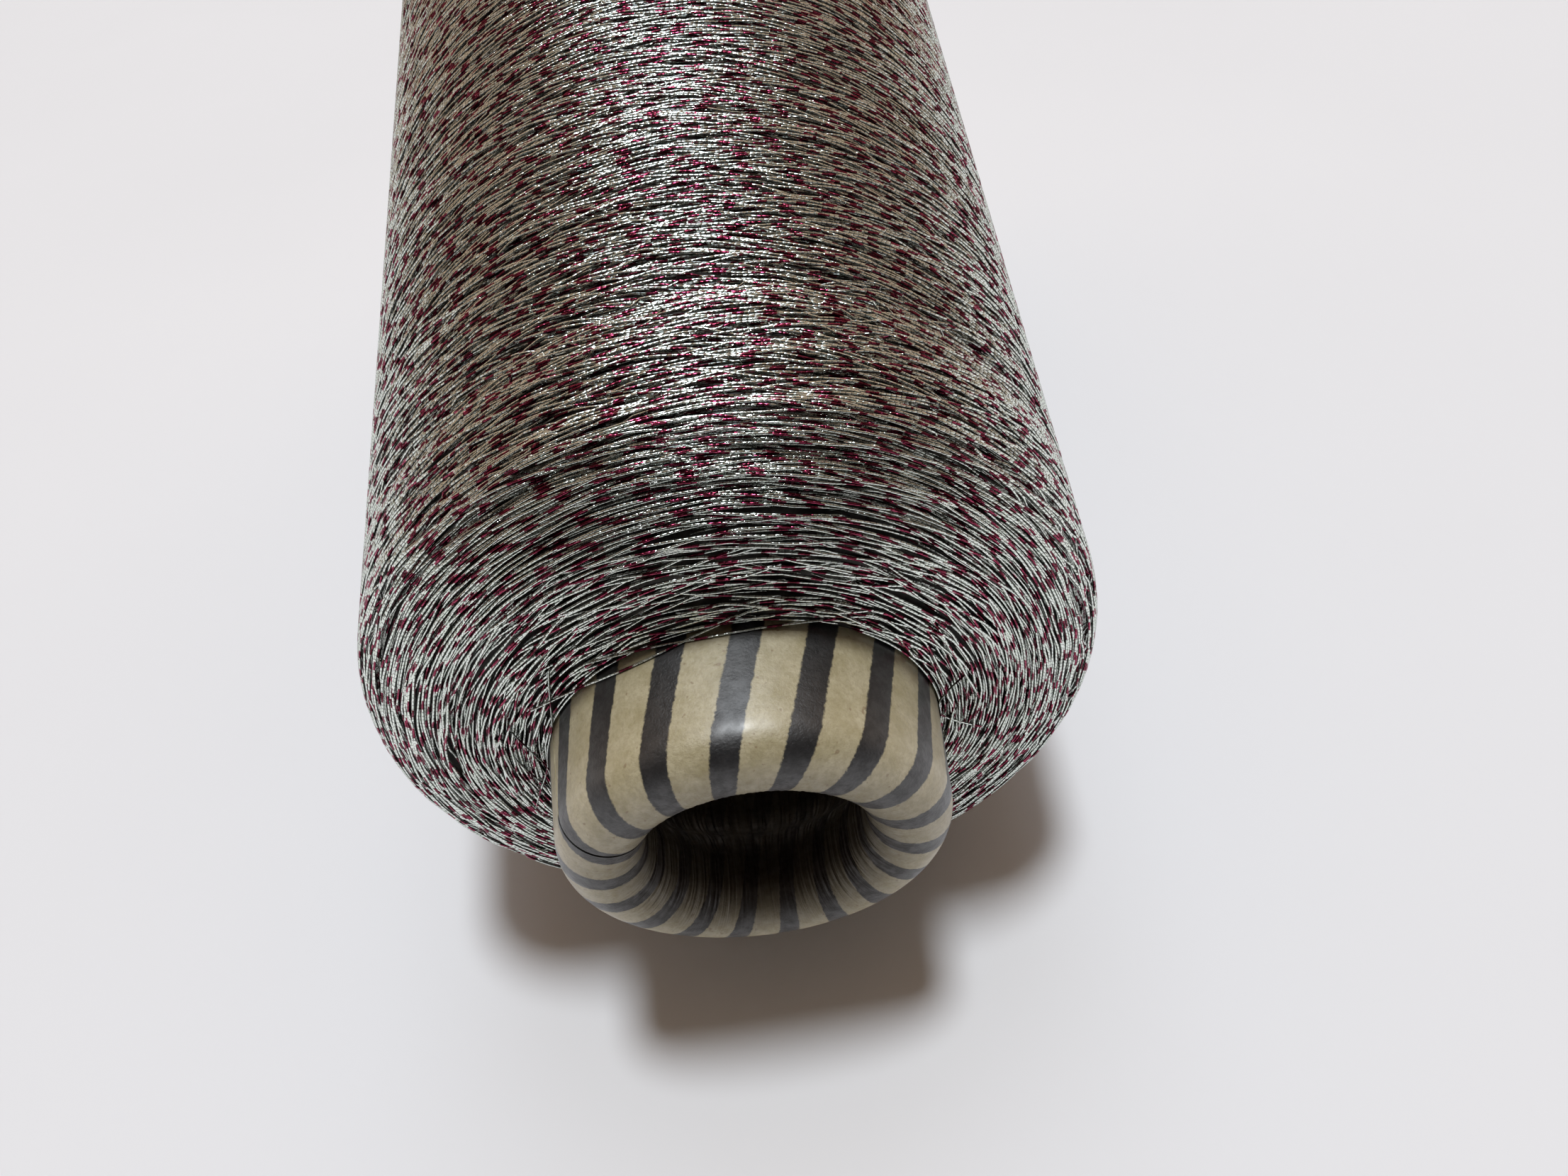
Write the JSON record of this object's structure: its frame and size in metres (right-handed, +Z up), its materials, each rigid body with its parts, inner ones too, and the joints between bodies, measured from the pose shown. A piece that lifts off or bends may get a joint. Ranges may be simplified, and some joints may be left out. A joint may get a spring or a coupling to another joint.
{
  "type": "wound yarn cone",
  "caption": "Cone of silver and crimson metallic yarn wound on a striped paper cone with a rolled-in nose, lying on its side.",
  "frame": {"origin": "on the ground plane under the middle of the whole object's box", "axes": "+Z up; the nose points along -Y; the cone's axis climbs 4 degrees 20 minutes towards +Y, so that the wound yarn's lower side rests on the ground, pressed 0.3 mm flat there"},
  "size_m": [0.087, 0.1728, 0.0865],
  "materials": {
    "striped_paper": "burnished kraft paper with charcoal stripes running along the cone",
    "kraft_paper": "glued kraft paper ply, raw edges showing at the rim and in the throat",
    "liner_paper": "smooth kraft liner with faint winding creases",
    "yarn_core": "packed metallic yarn",
    "metallic_yarn": "film-wrapped metallic yarn, silver with crimson flecks"
  },
  "bodies": {
    "root": {"striped_cover_ply": "striped_paper", "paper_ply_outer": "kraft_paper", "paper_ply_middle": "kraft_paper", "paper_ply_inner": "kraft_paper", "bore_liner_ply": "liner_paper", "wound_yarn_core": "yarn_core", "wound_yarn_top_course": "metallic_yarn", "transfer_tail_wraps": "metallic_yarn"}
  },
  "joints": []
}
